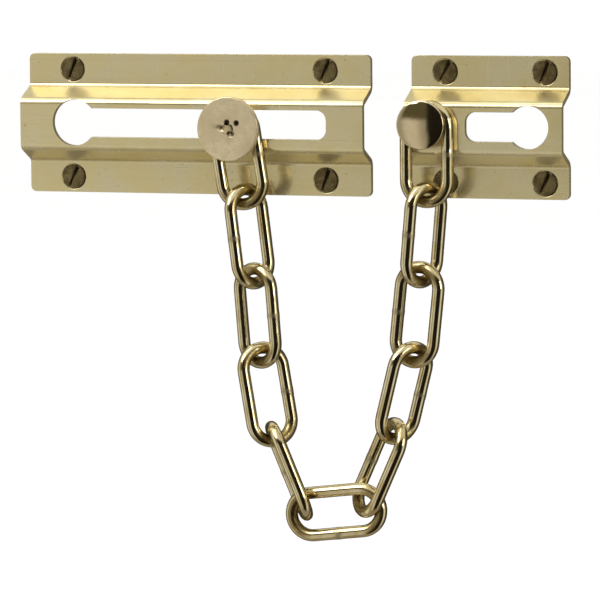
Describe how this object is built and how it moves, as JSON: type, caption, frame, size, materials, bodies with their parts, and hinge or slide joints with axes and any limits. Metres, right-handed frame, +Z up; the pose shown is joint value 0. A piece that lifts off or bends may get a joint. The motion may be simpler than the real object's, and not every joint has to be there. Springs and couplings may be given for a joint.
{
  "type": "door chain guard",
  "caption": "Door chain guard: slotted track plate with a sliding stud, welded oval-link chain and a keeper plate with a keyhole, both plates screwed to the door and frame.",
  "frame": {"origin": "centre of the track plate's four screws, on the back face that lies on the door", "axes": "+X along both plates from the track plate to the keeper plate, +Y into the door, +Z up; the chain hangs towards -Z in front of the plates"},
  "size_m": [0.162, 0.0355, 0.1374],
  "materials": {
    "plate_brass": "polished plate",
    "stud_brass": "polished plate",
    "chain_brass": "polished plate",
    "screw_bronze": "dark bronze plate"
  },
  "bodies": {
    "plates": {"track_plate": "plate_brass", "keeper_plate": "plate_brass", "keeper_stud": "stud_brass", "track_screw_upper_left": "screw_bronze", "track_screw_upper_right": "screw_bronze", "track_screw_lower_left": "screw_bronze", "track_screw_lower_right": "screw_bronze", "keeper_screw_upper_left": "screw_bronze", "keeper_screw_upper_right": "screw_bronze", "keeper_screw_lower_left": "screw_bronze", "keeper_screw_lower_right": "screw_bronze"},
    "slider": {"slider_stud": "stud_brass", "slider_disc": "stud_brass"},
    "link_01": {"link_01": "chain_brass"},
    "link_02": {"link_02": "chain_brass"},
    "link_03": {"link_03": "chain_brass"},
    "link_04": {"link_04": "chain_brass"},
    "link_05": {"link_05": "chain_brass"},
    "link_06": {"link_06": "chain_brass"},
    "link_07": {"link_07": "chain_brass"},
    "link_08": {"link_08": "chain_brass"},
    "link_09": {"link_09": "chain_brass"},
    "link_10": {"link_10": "chain_brass"},
    "link_11": {"link_11": "chain_brass"}
  },
  "joints": [
    {"name": "slider_slide", "type": "slide", "parent": "plates", "child": "slider", "axis": [1, 0, 0], "range_m": [-0.049, 0.024]},
    {"name": "link_01_swing", "type": "hinge", "parent": "slider", "child": "link_01", "pos_m": [0.0138, -0.0112, -0.0005], "axis": [0, -1, 0], "range_deg": [-6, 12]},
    {"name": "link_02_swing", "type": "hinge", "parent": "link_01", "child": "link_02", "pos_m": [0.01738, -0.0112, -0.01982], "axis": [0, -1, 0], "range_deg": [-2.5, 5]},
    {"name": "link_03_swing", "type": "hinge", "parent": "link_02", "child": "link_03", "pos_m": [0.02014, -0.0112, -0.04225], "axis": [0, -1, 0], "range_deg": [-1.5, 3]},
    {"name": "link_04_swing", "type": "hinge", "parent": "link_03", "child": "link_04", "pos_m": [0.02191, -0.0112, -0.06478], "axis": [0, -1, 0], "range_deg": [-5.5, 3]},
    {"name": "link_05_swing", "type": "hinge", "parent": "link_04", "child": "link_05", "pos_m": [0.02564, -0.0112, -0.08707], "axis": [0, -1, 0], "range_deg": [-8.5, 4.5]},
    {"name": "link_06_swing", "type": "hinge", "parent": "link_05", "child": "link_06", "pos_m": [0.0353, -0.0112, -0.1098], "axis": [0, -1, 0], "range_deg": [-8, 4]},
    {"name": "link_07_swing", "type": "hinge", "parent": "link_06", "child": "link_07", "pos_m": [0.05168, -0.0112, -0.10781], "axis": [0, -1, 0], "range_deg": [-5, 2.5]},
    {"name": "link_08_swing", "type": "hinge", "parent": "link_07", "child": "link_08", "pos_m": [0.06172, -0.0112, -0.08524], "axis": [0, -1, 0], "range_deg": [-3, 1.5]},
    {"name": "link_09_swing", "type": "hinge", "parent": "link_08", "child": "link_09", "pos_m": [0.06719, -0.0112, -0.06331], "axis": [0, -1, 0], "range_deg": [-4, 2]},
    {"name": "link_10_swing", "type": "hinge", "parent": "link_09", "child": "link_10", "pos_m": [0.06955, -0.0112, -0.04084], "axis": [0, -1, 0], "range_deg": [-2, 1]},
    {"name": "link_11_swing", "type": "hinge", "parent": "link_10", "child": "link_11", "pos_m": [0.07152, -0.0112, -0.01832], "axis": [0, -1, 0], "range_deg": [-5.5, 3]}
  ],
  "couplings": [
    {"joint": "link_01_swing", "follows": "slider_slide", "rad_per_m": -4.1888},
    {"joint": "link_02_swing", "follows": "slider_slide", "rad_per_m": -1.5708},
    {"joint": "link_03_swing", "follows": "slider_slide", "rad_per_m": -0.8727},
    {"joint": "link_04_swing", "follows": "slider_slide", "rad_per_m": 1.9199},
    {"joint": "link_05_swing", "follows": "slider_slide", "rad_per_m": 2.9322},
    {"joint": "link_06_swing", "follows": "slider_slide", "rad_per_m": 2.7227},
    {"joint": "link_07_swing", "follows": "slider_slide", "rad_per_m": 1.7453},
    {"joint": "link_08_swing", "follows": "slider_slide", "rad_per_m": 0.8727},
    {"joint": "link_09_swing", "follows": "slider_slide", "rad_per_m": 1.2217},
    {"joint": "link_10_swing", "follows": "slider_slide", "rad_per_m": 0.5236},
    {"joint": "link_11_swing", "follows": "slider_slide", "rad_per_m": 1.885}
  ]
}
